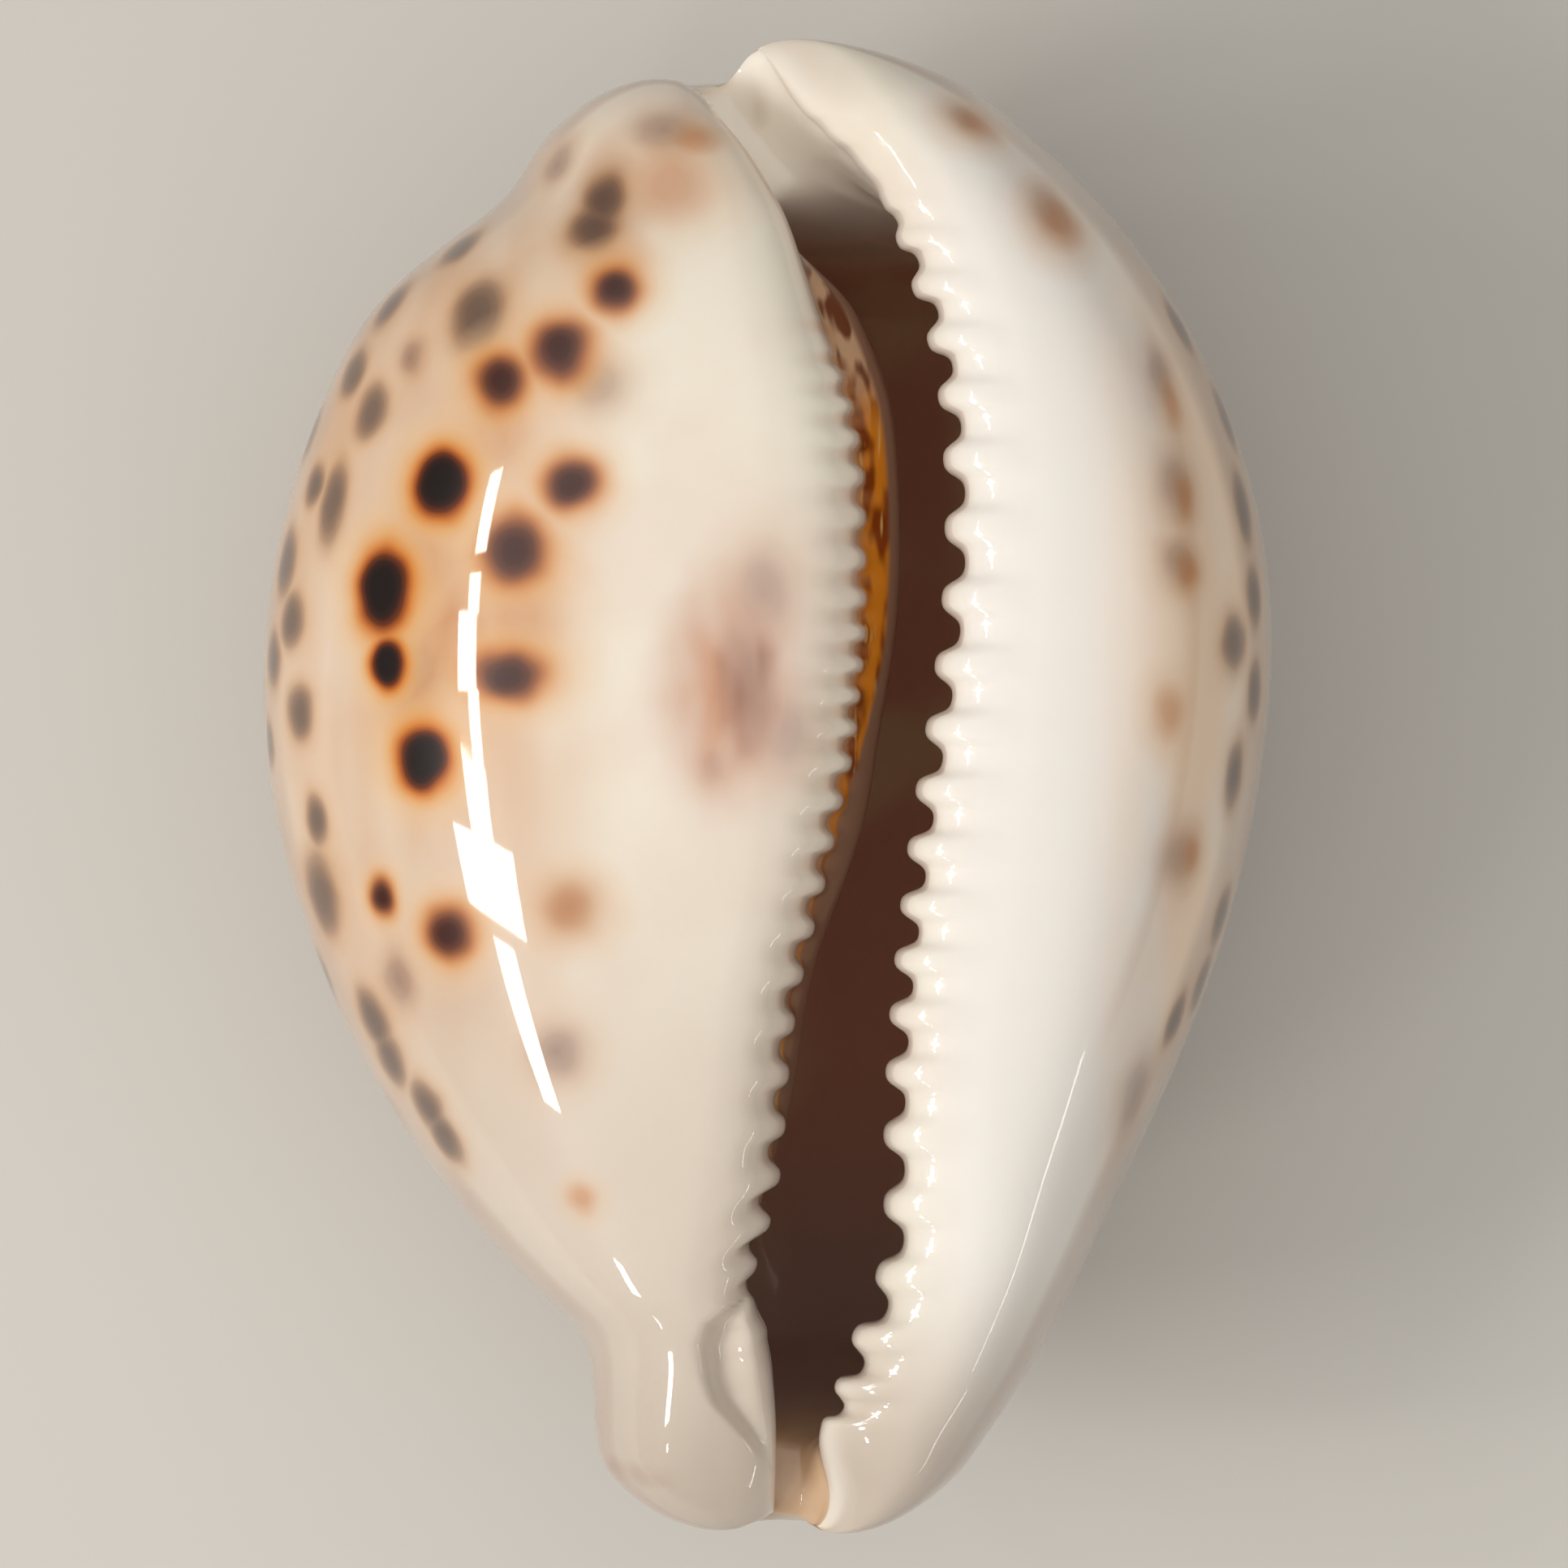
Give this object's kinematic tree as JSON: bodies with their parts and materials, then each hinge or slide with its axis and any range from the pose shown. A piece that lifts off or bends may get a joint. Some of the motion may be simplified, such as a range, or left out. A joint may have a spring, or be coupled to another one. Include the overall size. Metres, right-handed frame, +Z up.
{
  "type": "cowrie shell",
  "caption": "Glossy spotted cowrie shell lying on its back, with a long toothed slit upwards and open canals at both ends.",
  "frame": {"origin": "on the surface the shell rests on, under the middle of its box", "axes": "+Y along the shell towards the posterior (spire) end, +X towards the outer lip, +Z up through the toothed slit"},
  "size_m": [0.0574, 0.084, 0.0451],
  "materials": {
    "glaze": "gloss"
  },
  "bodies": {
    "root": {"shell": "glaze"}
  },
  "joints": []
}
